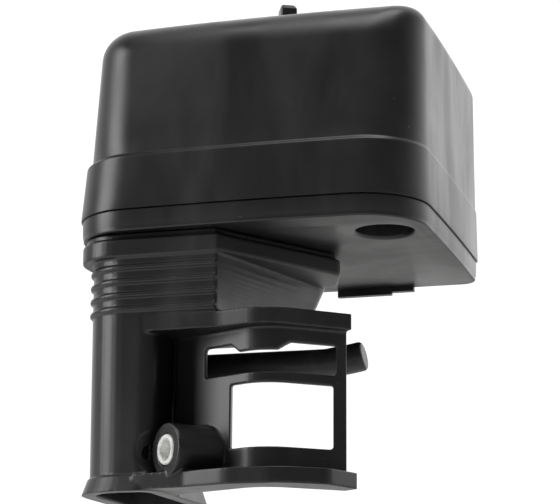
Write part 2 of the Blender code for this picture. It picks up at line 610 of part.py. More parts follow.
def make_stud():
    stud = slab("centre_stud", circle(0, 0, STUD_DIAMETER, FINE), FLANGE_TOP - 12 * MM, STUD_TIP - MM,
                "zinc_steel")
    join(stud, loft("stud_point", [(circle(0, 0, STUD_DIAMETER - 0.2 * MM, 24), STUD_TIP - 2 * MM),
                                   (circle(0, 0, STUD_DIAMETER - 2.4 * MM, 24), STUD_TIP)]))
    bore = STUD_DIAMETER + 2 * GAP
    under = FLANGE_TOP - 4.5 * MM - GAP
    tube("stud_lower_washer", under - 1.2 * MM, under, 12 * MM, bore, "zinc_steel")
    hexagon("stud_lower_nut", under - 1.2 * MM - GAP - 5 * MM, under - 1.2 * MM - GAP, bore)
    floor = -TRAY_HEIGHT + TRAY_WALL + GAP
    tube("stud_upper_washer", floor, floor + 1.2 * MM, 12 * MM, bore, "zinc_steel")
    hexagon("stud_upper_nut", floor + 1.2 * MM + GAP, floor + 1.2 * MM + GAP + 5 * MM, bore)


def hexagon(name, bottom, top, bore):
    nut = slab(name, circle(0, 0, 10 / math.cos(math.pi / 6) * MM, 6), bottom, top, "zinc_steel")
    cut(nut, slab(f"{name}_bore", circle(0, 0, bore, 24), bottom - MM, top + MM))


def make_element():
    floor = -TRAY_HEIGHT + TRAY_WALL + GAP
    bottom = floor + SEAL_HEIGHT
    top = floor + ELEMENT_HEIGHT
    tube("element_bottom_seal", floor, bottom, 2 * ELEMENT_RADIUS, 2 * ELEMENT_BORE_RADIUS,
         "seal_rubber", count=SMOOTH)
    outer = ELEMENT_RADIUS - MM
    inner = ELEMENT_BORE_RADIUS + SCREEN_WALL + 2 * MM
    turns = [2 * math.pi * index / (2 * PLEATS) for index in range(2 * PLEATS)]
    plan = [((outer if index % 2 else outer - 3 * MM) * math.cos(a), (outer if index % 2 else outer - 3 * MM)
             * math.sin(a)) for index, a in enumerate(turns)]
    pleats = slab("element_paper", plan, bottom + GAP, top - SEAL_HEIGHT - GAP, "filter_paper")
    cut(pleats, slab("paper_bore", circle(0, 0, 2 * inner, 48), bottom - MM, top))
    tube("element_screen", bottom + GAP, top - SEAL_HEIGHT - GAP, 2 * (inner - GAP),
         2 * (inner - GAP - SCREEN_WALL), "zinc_steel", count=SMOOTH)
    cap = slab("element_top_seal", circle(0, 0, 2 * ELEMENT_RADIUS, SMOOTH), top - SEAL_HEIGHT, top,
               "seal_rubber")
    cut(cap, slab("cap_inside", circle(0, 0, 2 * ELEMENT_BORE_RADIUS, SMOOTH), top - SEAL_HEIGHT - MM,
                  top - TOP_PLATE))
    cut(cap, stud_hole("cap_hole", 0, top + MM))
    tube("foam_sleeve", floor, top - 2 * MM, 2 * (ELEMENT_RADIUS + GAP + FOAM_WALL),
         2 * (ELEMENT_RADIUS + GAP), "foam", count=SMOOTH)
    washer = top + GAP
    tube("element_washer", washer, washer + 1.5 * MM, 16 * MM, STUD_DIAMETER + 2 * GAP, "zinc_steel")
    wing_nut("element_wing_nut", washer + 1.5 * MM + GAP, ELEMENT_NUT_HEIGHT, 7 * MM, WING_THICKNESS,
             "zinc_steel")


def make_cover_nut():
    base = COVER_NUT_BASE
    crest = COVER_HEIGHT + TOP_CROWN * 0.75 + GAP
    tube("cover_seal", crest, crest + 2 * MM, 18 * MM, STUD_DIAMETER + 2 * GAP, "rubber")
    tube("cover_washer", crest + 2 * MM + GAP, base - GAP, 16 * MM, STUD_DIAMETER + 2 * GAP, "zinc_steel")
    wing_nut("cover_wing_nut", base, COVER_NUT_HEIGHT, 9 * MM, KNOB_THICKNESS, "black_plastic")


def make_screws():
    """Three screws from inside the tray into the elbow's flange."""
    under = TRAY_FLOOR + GAP
    for index, (x, y) in enumerate(TRAY_SCREWS, 1):
        screw = slab(f"tray_screw_{index}", circle(x, y, SCREW_HEAD, FINE), under, under + SCREW_HEAD_HEIGHT,
                     "zinc_steel")
        join(screw, slab(f"screw_shank_{index}", circle(x, y, SCREW_SHANK, COARSE), FLANGE_TOP - SCREW_LENGTH,
                         under + MM))


FRAME = start()
make_cover()
make_tray()
make_elbow()
make_gaskets()
make_collar()
make_stud()
make_element()
make_cover_nut()
make_screws()
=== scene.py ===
# %% [markdown]
# # Air filter housing
# A small engine's air filter housing: a deep moulded cover over a tray, on a ribbed elbow that leads
# the clean air down to the carburettor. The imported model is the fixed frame, and every piece made
# here rides on one of its bodies. Layout numbers are millimetres from the centre stud, with z = 0 at
# the parting line of cover and tray.

# %% Frame
import math

import bmesh
import bpy
from mathutils import Matrix, Vector


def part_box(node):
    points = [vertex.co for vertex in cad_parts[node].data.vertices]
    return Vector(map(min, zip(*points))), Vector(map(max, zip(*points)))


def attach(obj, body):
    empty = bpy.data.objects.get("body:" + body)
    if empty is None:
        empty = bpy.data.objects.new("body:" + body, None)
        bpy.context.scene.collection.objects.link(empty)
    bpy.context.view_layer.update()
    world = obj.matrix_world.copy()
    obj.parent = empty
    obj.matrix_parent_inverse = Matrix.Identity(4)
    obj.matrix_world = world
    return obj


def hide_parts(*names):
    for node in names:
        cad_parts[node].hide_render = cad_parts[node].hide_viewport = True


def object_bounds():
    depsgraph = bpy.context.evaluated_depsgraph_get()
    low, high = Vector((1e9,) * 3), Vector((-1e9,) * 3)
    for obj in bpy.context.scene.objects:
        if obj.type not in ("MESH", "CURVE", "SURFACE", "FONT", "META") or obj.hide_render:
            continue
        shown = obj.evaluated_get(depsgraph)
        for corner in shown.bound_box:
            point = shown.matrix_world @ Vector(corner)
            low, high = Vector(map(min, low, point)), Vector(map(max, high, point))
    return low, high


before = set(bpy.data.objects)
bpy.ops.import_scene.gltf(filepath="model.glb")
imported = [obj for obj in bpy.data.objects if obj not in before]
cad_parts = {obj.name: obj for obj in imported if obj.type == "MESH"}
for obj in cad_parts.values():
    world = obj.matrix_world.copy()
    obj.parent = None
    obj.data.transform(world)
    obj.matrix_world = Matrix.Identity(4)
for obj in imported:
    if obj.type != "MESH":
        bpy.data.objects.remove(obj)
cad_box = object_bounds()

MM = 0.001
stud_low, stud_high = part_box("centre_stud")
CENTRE = Vector(((stud_low.x + stud_high.x) / 2, (stud_low.y + stud_high.y) / 2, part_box("cover")[0].z))
print("centre of the layout, metres:", [round(v, 4) for v in CENTRE])

# %% [markdown]
# ## Camera
# The housing is seen from the front right and from a little below, through a long lens, so that its
# sides stay almost parallel. The camera is placed by its position and the point it looks at, and then
# rolled by a fraction of a degree.

# %% Camera
CAMERA_AT = Vector((244.44, -820.71, -211.93))
LOOKS_AT = Vector((-1.04, 0.0, -5.26))
CAMERA_ROLL = math.radians(0.38)
LENS = 123.57


def place(point):
    """A layout point in millimetres as a place in the frame, in metres."""
    return Vector(point) * MM + CENTRE


def add_camera():
    data = bpy.data.cameras.new("camera")
    data.lens = LENS
    data.sensor_width = 36
    data.clip_end = 100
    camera = bpy.data.objects.new("camera", data)
    back = (CAMERA_AT - LOOKS_AT).normalized()
    right = Vector((0, 0, 1)).cross(back).normalized()
    up = back.cross(right)
    across = right * math.cos(CAMERA_ROLL) + up * math.sin(CAMERA_ROLL)
    over = up * math.cos(CAMERA_ROLL) - right * math.sin(CAMERA_ROLL)
    turn = Matrix((across, over, back)).transposed().to_4x4()
    camera.matrix_world = Matrix.Translation(place(CAMERA_AT)) @ turn
    bpy.context.scene.collection.objects.link(camera)
    bpy.context.scene.camera = camera
    return camera


print("camera at", [round(v, 3) for v in add_camera().location])

# %% [markdown]
# ## Light and floor
# Black plastic shows the room more than itself. A bright room behind gives the side and the underside
# their grey sheen at a grazing angle, and a dim room in front leaves the front face dark. Two soft
# panels add the long gentle highlights. The floor is plain and pale, well below the part, which hangs.

# %% Light and floor
ROOM_BEHIND = 1.7
ROOM_IN_FRONT = 0.16
ROOM_SEEN = 1.1
FLOOR_BELOW = 0.24


def linear(colour):
    """An sRGB hex colour as linear red, green, blue and alpha."""
    parts = [int(colour[i:i + 2], 16) / 255 for i in (1, 3, 5)]
    return [*(c / 12.92 if c <= 0.04045 else ((c + 0.055) / 1.055) ** 2.4 for c in parts), 1.0]


def node(tree, kind, settings=None, **inputs):
    """Adds a node, with its settings as attributes and its inputs as values or as sockets to link."""
    made = tree.nodes.new(kind)
    for key, value in (settings or {}).items():
        setattr(made, key, value)
    for key, value in inputs.items():
        by_number = key[0] == "i" and key[1:].isdigit()
        socket = made.inputs[int(key[1:]) if by_number else key.replace("_", " ")]
        if isinstance(value, bpy.types.NodeSocket):
            tree.links.new(value, socket)
        else:
            socket.default_value = value
    return made


def add_room():
    world = bpy.data.worlds.new("studio")
    bpy.context.scene.world = world
    world.use_nodes = True
    tree = world.node_tree
    tree.nodes.clear()
    direction = node(tree, "ShaderNodeTexCoord")
    depth = node(tree, "ShaderNodeSeparateXYZ", Vector=direction.outputs["Generated"])
    ramp = node(tree, "ShaderNodeMapRange", {"interpolation_type": "SMOOTHSTEP"}, Value=depth.outputs["Y"])
    for socket, value in (("From Min", -0.1), ("From Max", 0.95),
                          ("To Min", ROOM_IN_FRONT), ("To Max", ROOM_BEHIND)):
        ramp.inputs[socket].default_value = value
    seen = node(tree, "ShaderNodeLightPath")
    level = node(tree, "ShaderNodeMix", {"data_type": "FLOAT"}, Factor=seen.outputs["Is Camera Ray"],
                 A=ramp.outputs["Result"], B=ROOM_SEEN)
    light = node(tree, "ShaderNodeBackground", Color=(1, 1, 1, 1), Strength=level.outputs[0])
    out = node(tree, "ShaderNodeOutputWorld", Surface=light.outputs[0])
    return out


def add_panel(name, at, towards, width, height, power):
    data = bpy.data.lights.new(name, "AREA")
    data.shape = "RECTANGLE"
    data.size = width
    data.size_y = height
    data.energy = power
    panel = bpy.data.objects.new(name, data)
    panel.location = place(at)
    panel.rotation_euler = (place(towards) - place(at)).to_track_quat("-Z", "Y").to_euler()
    bpy.context.scene.collection.objects.link(panel)
    return panel


add_room()
add_panel("panel_left", (-900, -500, 300), (0, 0, 0), 0.5, 1.0, 9)
add_panel("panel_top", (150, -300, 1100), (0, 0, 40), 0.9, 0.7, 8)
bpy.context.scene.view_settings.view_transform = "Standard"
bpy.context.scene.view_settings.look = "None"

shape = bmesh.new()
bmesh.ops.create_grid(shape, x_segments=2, y_segments=2, size=6)
floor_mesh = bpy.data.meshes.new("floor")
shape.to_mesh(floor_mesh)
shape.free()
floor = bpy.data.objects.new("floor", floor_mesh)
floor.location = (0, 0, cad_box[0][2] - FLOOR_BELOW)
bpy.context.scene.collection.objects.link(floor)
print("floor at", round(floor.location.z, 3), "m")

# %% [markdown]
# ## Finishes
# Each finish starts from the real one: what the stuff is, how its surface was made, and what that
# gives the eye. Pattern sizes are worked out from millimetres on the part. `mapped` gives a texture
# the object's own coordinates, so a pattern keeps its real size on every piece.

# %% Finish helpers


def finish(name, roughness, metallic=0.0, **sockets):
    """A new material with its Principled shader set, and its node tree to add to."""
    made = bpy.data.materials.new(name)
    made.use_nodes = True
    tree = made.node_tree
    shader = tree.nodes["Principled BSDF"]
    shader.inputs["Roughness"].default_value = roughness
    shader.inputs["Metallic"].default_value = metallic
    for key, value in sockets.items():
        shader.inputs[key.replace("_", " ")].default_value = value
    return made, tree, shader


def mapped(tree, scale=(1, 1, 1)):
    where = node(tree, "ShaderNodeTexCoord")
    return node(tree, "ShaderNodeMapping", Vector=where.outputs["Object"], Scale=scale).outputs[0]


def noise(tree, size_mm, detail=4.0, roughness=0.5, stretch=(1, 1, 1), distortion=0.0):
    """Noise whose blotches are about size_mm across."""
    return node(tree, "ShaderNodeTexNoise", Vector=mapped(tree, stretch), Scale=1000.0 / size_mm, Detail=detail,
                Roughness=roughness, Distortion=distortion).outputs["Fac"]


def between(tree, value, low, high, to_low=0.0, to_high=1.0):
    made = node(tree, "ShaderNodeMapRange", {"interpolation_type": "SMOOTHSTEP"}, Value=value)
    for socket, number in (("From Min", low), ("From Max", high), ("To Min", to_low), ("To Max", to_high)):
        made.inputs[socket].default_value = number
    return made.outputs["Result"]


def mix(tree, factor, first, second):
    made = node(tree, "ShaderNodeMix", {"data_type": "RGBA"})
    tree.links.new(factor, made.inputs["Factor"])
    for socket, value in ((made.inputs[6], first), (made.inputs[7], second)):
        if isinstance(value, bpy.types.NodeSocket):
            tree.links.new(value, socket)
        else:
            socket.default_value = value
    return made.outputs[2]


def bump(tree, shader, height, distance_mm, strength=1.0, before=None):
    made = node(tree, "ShaderNodeBump", Height=height, Distance=distance_mm * MM, Strength=strength)
    if before is not None:
        tree.links.new(before, made.inputs["Normal"])
    tree.links.new(made.outputs[0], shader.inputs["Normal"])
    return made.outputs[0]


# %% [markdown]
# ### Moulded black polypropylene
# The cover, tray and elbow are injection-moulded in black polypropylene. The tool's fine spark-eroded
# texture, grain about 0.4 mm, softens every reflection. Flow marks 20 to 60 mm long make the gloss
# uneven, and handling leaves pale dry scuffs and a little dust, mostly where air and hands pass.

# %% Moulded black polypropylene
PLASTIC = linear("#141415")
PLASTIC_WORN = linear("#1f1f20")
DUST = linear("#77756f")


def moulded_plastic(name, roughness, dust):
    made, tree, shader = finish(name, roughness, IOR=1.49)
    flow = noise(tree, 34, 3.0, 0.55, (1, 1, 0.35), 0.6)
    grain = noise(tree, 0.45, 2.0, 0.6)
    fine = noise(tree, 4.0, 4.0, 0.6)
    specks = node(tree, "ShaderNodeTexVoronoi", {"feature": "F1"}, Vector=mapped(tree), Scale=1000 / 7.0,
                  Randomness=1.0).outputs["Distance"]
    colour = mix(tree, between(tree, flow, 0.35, 0.75), PLASTIC, PLASTIC_WORN)
    speck = node(tree, "ShaderNodeMath", {"operation": "MULTIPLY"}, i0=between(tree, specks, 0.05, 0.035),
                 i1=between(tree, noise(tree, 28, 2.0), 0.56, 0.66))
    film = node(tree, "ShaderNodeMath", {"operation": "MULTIPLY"}, i0=between(tree, fine, 0.45, 0.8),
                i1=between(tree, flow, 0.5, 0.8, 0.0, dust))
    dirt = node(tree, "ShaderNodeMath", {"operation": "MAXIMUM"}, i0=speck.outputs[0], i1=film.outputs[0])
    tree.links.new(mix(tree, dirt.outputs[0], colour, DUST), shader.inputs["Base Color"])
    sheen = between(tree, flow, 0.3, 0.75, roughness - 0.05, roughness + 0.08)
    tree.links.new(sheen, shader.inputs["Roughness"])
    broad = bump(tree, shader, noise(tree, 24, 2.0), 0.25, 0.6)
    bump(tree, shader, grain, 0.02, 0.5, broad)
    return made


cover_plastic = moulded_plastic("moulded_black_polypropylene_satin", 0.36, 0.05)
elbow_plastic = moulded_plastic("moulded_black_polypropylene_scuffed", 0.38, 0.12)
print("plastic finishes:", cover_plastic.name, elbow_plastic.name)

# %% [markdown]
# ### Zinc-plated steel, rubber, foam, filter paper and gasket fibre
# Zinc plating is a dull bright grey with faint spangle and turning lines, so its colour and roughness
# vary a little. Rubber is dark and dry. Oiled foam is open cells about 1 mm wide, drawn as bump, with
# painted shade darkening each cell's pit. Filter paper is buff with short fibres, and the gasket is grey
# pressed fibre.

# %% Other finishes


def zinc_steel(name="zinc_plated_steel", roughness=0.32, metallic=1.0, tones=("#c9cac8", "#a3a49f")):
    made, tree, shader = finish(name, roughness, metallic)
    tone = mix(tree, between(tree, noise(tree, 3.0, 5.0), 0.35, 0.7), *map(linear, tones))
    tree.links.new(tone, shader.inputs["Base Color"])
    tree.links.new(between(tree, noise(tree, 1.2), 0.3, 0.7, 0.24, 0.42), shader.inputs["Roughness"])
    bump(tree, shader, noise(tree, 0.8, 3.0, 0.6, (1, 1, 6)), 0.02, 0.5)
    return made


def moulded_rubber(name, colour):
    made, tree, shader = finish(name, 0.62, IOR=1.52)
    tone = mix(tree, between(tree, noise(tree, 5.0), 0.4, 0.7), linear(colour), linear("#2c2b2a"))
    tree.links.new(tone, shader.inputs["Base Color"])
    tree.links.new(between(tree, noise(tree, 2.0), 0.3, 0.7, 0.55, 0.72), shader.inputs["Roughness"])
    bump(tree, shader, noise(tree, 0.6), 0.05, 0.5)
    return made


def open_cell_foam():
    made, tree, shader = finish("oiled_open_cell_foam", 0.9, IOR=1.45, Sheen_Weight=0.15)
    cells = node(tree, "ShaderNodeTexVoronoi", {"feature": "DISTANCE_TO_EDGE"}, Vector=mapped(tree),
                 Scale=1000 / 1.3, Randomness=1.0).outputs["Distance"]
    # Painted shade: each cell's pit is drawn darker than its rim, where the bump sinks.
    tone = mix(tree, between(tree, cells, 0.02, 0.3), linear("#4b4c50"), linear("#141416"))
    tree.links.new(tone, shader.inputs["Base Color"])
    bump(tree, shader, between(tree, cells, 0.0, 0.3, 1.0, 0.0), 0.5, 0.9)
    return made


def filter_paper():
    made, tree, shader = finish("resin_treated_filter_paper", 0.88, IOR=1.5)
    fibres = noise(tree, 0.9, 6.0, 0.7, (1, 1, 0.25), 1.5)
    tone = mix(tree, between(tree, fibres, 0.3, 0.7), linear("#d8bd84"), linear("#b99a5c"))
    tree.links.new(tone, shader.inputs["Base Color"])
    bump(tree, shader, fibres, 0.05, 0.7)
    return made


def gasket_fibre():
    made, tree, shader = finish("pressed_gasket_fibre", 0.86, IOR=1.5)
    fleck = noise(tree, 0.7, 5.0, 0.7)
    tree.links.new(mix(tree, between(tree, fleck, 0.35, 0.7), linear("#6f6f6a"), linear("#4c4d49")),
                   shader.inputs["Base Color"])
    bump(tree, shader, fleck, 0.04, 0.7)
    return made


def painted_floor():
    made, tree, shader = finish("pale_painted_floor", 0.6, IOR=1.45)
    tone = mix(tree, between(tree, noise(tree, 300, 3.0), 0.4, 0.6), linear("#eeeeec"), linear("#e9e9e7"))
    tree.links.new(tone, shader.inputs["Base Color"])
    return made


steel = zinc_steel()
# The collar's copy of the zinc steel is painted near white and less metallic: a painted highlight standing in
# for the light on it, over real zinc plating.
painted_lit_steel = zinc_steel("zinc_plated_steel_painted_lit", 0.5, 0.35, ("#f4f4f2", "#dcdcd8"))
rubber = moulded_rubber("moulded_black_rubber", "#1a1a1a")
seal = moulded_rubber("soft_moulded_polyurethane", "#232426")
foam = open_cell_foam()
paper = filter_paper()
fibre = gasket_fibre()
floor.data.materials.append(painted_floor())
print("other finishes:", ", ".join(m.name for m in (steel, rubber, seal, foam, paper, fibre)))

# %% [markdown]
# ## Shapes from outlines
# Nearly every moulding here is a stack of outlines. `rounded` gives an outline with its own radius at
# each corner, and `loft` skins a stack of them. A stack whose last ring meets its first again is a
# hollow wall, which suits a cover; a stack with flat ends is a solid, which suits a tool for cutting.

# %% Outlines and lofts


def rounded(corners, steps=12):
    """A closed outline through corners (x, y, radius), each rounded by its own arc."""
    outline = []
    for index, (x, y, radius) in enumerate(corners):
        here = Vector((x, y))
        back = (Vector(corners[index - 1][:2]) - here).normalized()
        ahead = (Vector(corners[(index + 1) % len(corners)][:2]) - here).normalized()
        if radius <= 0:
            outline.append((x, y))
            continue
        half = back.angle(ahead) / 2
        centre = here + (back + ahead).normalized() * radius / math.sin(half)
        first = here + back * radius / math.tan(half) - centre
        last = here + ahead * radius / math.tan(half) - centre
        turn = -first.angle_signed(last)
        for step in range(steps + 1):
            angle = turn * step / steps
            outline.append((centre.x + first.x * math.cos(angle) - first.y * math.sin(angle),
                            centre.y + first.x * math.sin(angle) + first.y * math.cos(angle)))
    return outline


def circle(x, y, diameter, count=64):
    turns = [2 * math.pi * index / count for index in range(count)]
    return [(x + diameter / 2 * math.cos(a), y + diameter / 2 * math.sin(a)) for a in turns]


def smooth(mesh_object, degrees=35):
    mesh_object.data.shade_smooth()
    mesh_object.data.set_sharp_from_angle(angle=math.radians(degrees))
    return mesh_object


def as_object(name, shape, matrix=None):
    """The bmesh, drawn in layout millimetres, as an object in the frame."""
    bmesh.ops.recalc_face_normals(shape, faces=shape.faces)
    mesh = bpy.data.meshes.new(name)
    shape.to_mesh(mesh)
    shape.free()
    if matrix is not None:
        mesh.transform(matrix)
    mesh.transform(Matrix.Translation(CENTRE) @ Matrix.Scale(MM, 4))
    made = bpy.data.objects.new(name, mesh)
    bpy.context.scene.collection.objects.link(made)
    return smooth(made)


def loft(name, sections, looped=False, matrix=None):
    """Skins outlines of equal length, each given as (outline, z)."""
    shape = bmesh.new()
    rings = [[shape.verts.new((x, y, z)) for x, y in outline] for outline, z in sections]
    pairs = list(zip(rings, rings[1:])) + ([(rings[-1], rings[0])] if looped else [])
    for lower, upper in pairs:
        for index in range(len(lower)):
            after = (index + 1) % len(lower)
            shape.faces.new((lower[index], lower[after], upper[after], upper[index]))
    if not looped:
        shape.faces.new(rings[0][::-1])
        shape.faces.new(rings[-1])
    return as_object(name, shape, matrix)


def slab(name, outline, bottom, top, edge=0.0):
    """A straight solid; with an edge, its top and bottom rims are rounded by a stack of insets."""
    if not edge:
        return loft(name, [(outline, bottom), (outline, top)])
    arcs = [math.pi / 2 * step / 4 for step in range(5)]
    low = [(inward(outline, edge * (1 - math.sin(a))), bottom + edge * (1 - math.cos(a))) for a in arcs]
    high = [(inward(outline, edge * (1 - math.cos(a))), top - edge * (1 - math.sin(a))) for a in arcs]
    return loft(name, low + high)


def inward(outline, distance):
    """A closed outline drawn in along its normals."""
    moved = []
    for index, point in enumerate(outline):
        before = Vector(outline[index - 1])
        after = Vector(outline[(index + 1) % len(outline)])
        along = (after - before).normalized()
        moved.append((point[0] - along.y * distance, point[1] + along.x * distance))
    return moved


def lying_along(at, axis):
    """The turn and move that lay an upright shape along axis, with its foot at a point."""
    turn = Vector((0, 0, 1)).rotation_difference(Vector(axis)).to_matrix().to_4x4()
    return Matrix.Translation(Vector(at)) @ turn


def bar(name, at, axis, diameter, length, count=64):
    """A round bar that starts at a layout point and runs along an axis."""
    turn = lying_along(at, axis)
    ring = circle(0, 0, diameter, count)
    return loft(name, [(ring, 0), (ring, length)], matrix=turn)


def lathe(name, profile, at=(0, 0, 0), axis=(0, 0, 1), count=96):
    """A ring turned from a closed profile of (radius, height)."""
    shape = bmesh.new()
    rings = []
    for index in range(count):
        a = 2 * math.pi * index / count
        rings.append([shape.verts.new((r * math.cos(a), r * math.sin(a), z)) for r, z in profile])
    for index, ring in enumerate(rings):
        after = rings[(index + 1) % count]
        for side in range(len(profile)):
            ahead = (side + 1) % len(profile)
            shape.faces.new((ring[side], after[side], after[ahead], ring[ahead]))
    turn = lying_along(at, axis)
    return as_object(name, shape, turn)


def combine(piece, tools, operation):
    """Applies Booleans one after another and removes the tools."""
    for tool in tools:
        step = piece.modifiers.new(tool.name, "BOOLEAN")
        step.object = tool
        step.operation = operation
        step.solver = "MANIFOLD"
    bake(piece)
    for tool in tools:
        bpy.data.objects.remove(tool)
    return piece


def bake(piece):
    """Applies every modifier on a piece."""
    bpy.context.view_layer.update()
    graph = bpy.context.evaluated_depsgraph_get()
    mesh = bpy.data.meshes.new_from_object(piece.evaluated_get(graph))
    piece.modifiers.clear()
    piece.data = mesh
    return piece


MOST_TRIANGLES = 190_000


def soften(piece, voxel_mm, passes, factor=0.5):
    """Remeshes a joined moulding finely and relaxes it, which rounds every edge as a mould does."""
    remesh = piece.modifiers.new("remesh", "REMESH")
    remesh.mode = "VOXEL"
    remesh.voxel_size = voxel_mm * MM
    relax = piece.modifiers.new("relax", "SMOOTH")
    relax.iterations = passes
    relax.factor = factor
    bake(piece)
    triangles = sum(len(face.vertices) - 2 for face in piece.data.polygons)
    if triangles > MOST_TRIANGLES:
        thin_out = piece.modifiers.new("thin_out", "DECIMATE")
        thin_out.ratio = MOST_TRIANGLES / triangles
        bake(piece)
    piece.data.shade_smooth()
    return piece


def dress(piece, body, material, slot, *nodes):
    """Gives a piece its finish, its body and the frame nodes that it stands for."""
    piece.data.materials.clear()
    piece.data.materials.append(material)
    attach(piece, body)
    if nodes:
        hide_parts(*nodes)
    return piece


# %% [markdown]
# ## Cover
# The cover is one deep moulding. A loft suits it better than Booleans: one run of outlines goes up the
# outside, over the soft top edge, down the stud's hole and back down the inside, so the wall keeps its
# thickness and the reflections run clean. Each side has its own lean, step, draft and edge radius.

# %% Cover
BOX = (157, 144)
FRONT_RADIUS, BACK_RADIUS = 28, 9
FRONT_BOW, SIDE_BOW = 2.4, 1.0
SKIRT, STEP_RISE, COVER_TOP, CROWN, WALL = 23.5, 2.2, 89.5, 1.2, 2.4
SIDES = {"left": (2.1, 2.4, 3.2, 13.5), "right": (0.3, 0.5, 0.2, 8), "front": (0.9, 1.9, 4.6, 18),
         "back": (0.3, 0.6, 0.2, 8)}
STUD_HOLE = 3.4


def box_plan(left, right=None, front=None, back=None, steps=16):
    """The box's plan, each side drawn in by its own distance and its faces bowed out a little."""
    right, front, back = (left if side is None else side for side in (right, front, back))
    x0, x1, y0, y1 = -BOX[0] / 2 + left, BOX[0] / 2 - right, -BOX[1] / 2 + front, BOX[1] / 2 - back
    wide, tight = max(FRONT_RADIUS - front, 4), max(BACK_RADIUS - back, 2)
    outline = rounded([(x0, y0, wide), (x1, y0, wide), (x1, y1, tight), (x0, y1, tight)], steps)
    bowed = []
    for index, (ax, ay) in enumerate(outline):
        bx, by = outline[(index + 1) % len(outline)]
        parts = 14 if math.hypot(bx - ax, by - ay) > 30 else 1
        for part in range(parts):
            px, py = ax + (bx - ax) * part / parts, ay + (by - ay) * part / parts
            across = max(0.0, 1 - (px / (x1 if px > 0 else x0)) ** 2)
            along = max(0.0, 1 - (py / (y1 if py > 0 else y0)) ** 2)
            bowed.append((px + SIDE_BOW * along * px / (x1 if px > 0 else -x0),
                          py - FRONT_BOW * across * max(0.0, py / y0)))
    return bowed


def side_inset(side, wall, z):
    lean, step, draft, radius = side
    top, radius, foot = COVER_TOP - wall, radius - wall, SKIRT - wall / 2
    if z <= foot:
        return wall + lean * max(z, 0.0) / foot
    share = min((z - foot) / STEP_RISE, 1.0)
    inset = wall + lean + step * share * share * (3 - 2 * share)
    inset += max(z - foot - STEP_RISE, 0.0) * math.tan(math.radians(draft))
    into = min(max(z - (top - radius), 0.0) / radius, 1.0)
    return inset + radius * (1 - math.sqrt(1 - into ** 2))


def cover_rings(wall):
    """The cover's outlines from its rim to the stud's hole."""
    top, foot = COVER_TOP - wall, SKIRT - wall / 2
    radius = SIDES["front"][-1] - wall
    heights = [0.6, 4, 10, 16, foot - 0.8, foot] + [foot + STEP_RISE * k / 8 for k in range(1, 9)]
    heights += [foot + STEP_RISE + (top - radius - foot - STEP_RISE) * k / 6 for k in range(1, 6)]
    heights += [top - radius + radius * math.sin(math.pi / 2 * k / 20) for k in range(21)]
    rings = [(box_plan(*(side_inset(side, wall, z) for side in SIDES.values())), z) for z in heights]
    edge = rings[-1][0]
    for k in range(1, 15):
        share = k / 14
        ring = []
        for x, y in edge:
            reach = math.hypot(x, y)
            pull = 1 - share * (1 - STUD_HOLE / reach)
            ring.append((x * pull, y * pull))
        rings.append((ring, top + CROWN * math.sin(math.pi / 2 * min(1.0, share * 2.6))))
    return rings


outside, inside = cover_rings(0.0), cover_rings(WALL)
rim = [(box_plan(WALL), 0.35), (box_plan(WALL - 0.35), 0.0), (box_plan(0.35), 0.0), (box_plan(0.1), 0.15)]
cover = loft("cover_shell", rim + outside + inside[::-1], looped=True)
dress(cover, "cover", cover_plastic, "black_plastic", "cover")
print("cover:", len(cover.data.polygons), "faces")

# %% [markdown]
# ## Tray
# The tray is a shallow dish: a rounded lower edge, a ledge that the cover closes on, and a thin lip
# that stands up inside the cover. The lofted dish then gets its intake pipe and back tab by union and
# its holes by difference. The intake's cutter is turned with a flare, so its mouth has a soft edge.

# %% Tray
TRAY_LOW, TRAY_FLOOR, TRAY_TOP, LIP, LIP_TOP = -9.5, -7.0, -0.3, 3.3, 6.0
INTAKE, INTAKE_BORE = (58, -40), 25
DUCT, DUCT_BORE = (-21, -10), 28
SCREWS = ((-58, -50), (-60, 12), (2, 20))


def quarter(count):
    return [math.pi / 2 * k / count for k in range(count + 1)]


def flared_bore(name, x, y, bore, z0, z1, flare):
    """A cutter for a round hole whose lower mouth opens in a quarter round."""
    rings = [(circle(x, y, bore + 2 * flare, 96), z0 - 2), (circle(x, y, bore + 2 * flare, 96), z0)]
    rings += [(circle(x, y, bore + 2 * flare * (1 - math.sin(a)), 96), z0 + flare * (1 - math.cos(a)))
              for a in quarter(6)]
    return loft(name, rings + [(circle(x, y, bore, 96), z1)])


under = [(box_plan(2.15 - 1.2 * math.sin(a) + 0.4 * (1 - math.cos(a))), TRAY_LOW + 1.4 * (1 - math.cos(a)))
         for a in quarter(6)]
side = [(box_plan(0.95), TRAY_LOW + 2.5), (box_plan(0.8), -2), (box_plan(0.75), TRAY_TOP - 0.3),
        (box_plan(1.0), TRAY_TOP), (box_plan(LIP), TRAY_TOP)]
lip = [(box_plan(LIP), LIP_TOP - 0.6), (box_plan(LIP + 0.3), LIP_TOP), (box_plan(LIP + 1.7), LIP_TOP),
       (box_plan(LIP + 2), LIP_TOP - 0.6), (box_plan(LIP + 2), TRAY_FLOOR + 1.5),
       (box_plan(LIP + 2.4), TRAY_FLOOR + 0.4), (box_plan(LIP + 3.5), TRAY_FLOOR)]
tray = loft("tray_dish", under + side + lip)
pipe = loft("intake_pipe", [(circle(*INTAKE, INTAKE_BORE + 3.2), TRAY_FLOOR - 1),
                            (circle(*INTAKE, INTAKE_BORE + 3.2), TRAY_FLOOR + 11.5),
                            (circle(*INTAKE, INTAKE_BORE + 2.4), TRAY_FLOOR + 12)])
tab = slab("back_tab", rounded([(8.5, 66.5, 0.6), (35.5, 66.5, 0.6), (35.5, 70, 0.6), (8.5, 70, 0.6)], 4),
           TRAY_LOW - 3.6, TRAY_LOW + 1)
tab_step_plan = rounded([(34.5, 66.5, 0.6), (46.5, 66.5, 0.6), (46.5, 70, 0.6), (34.5, 70, 0.6)], 4)
tab_step = slab("tab_step", tab_step_plan, TRAY_LOW - 2.4, TRAY_LOW + 1)
combine(tray, [pipe, tab, tab_step], "UNION")
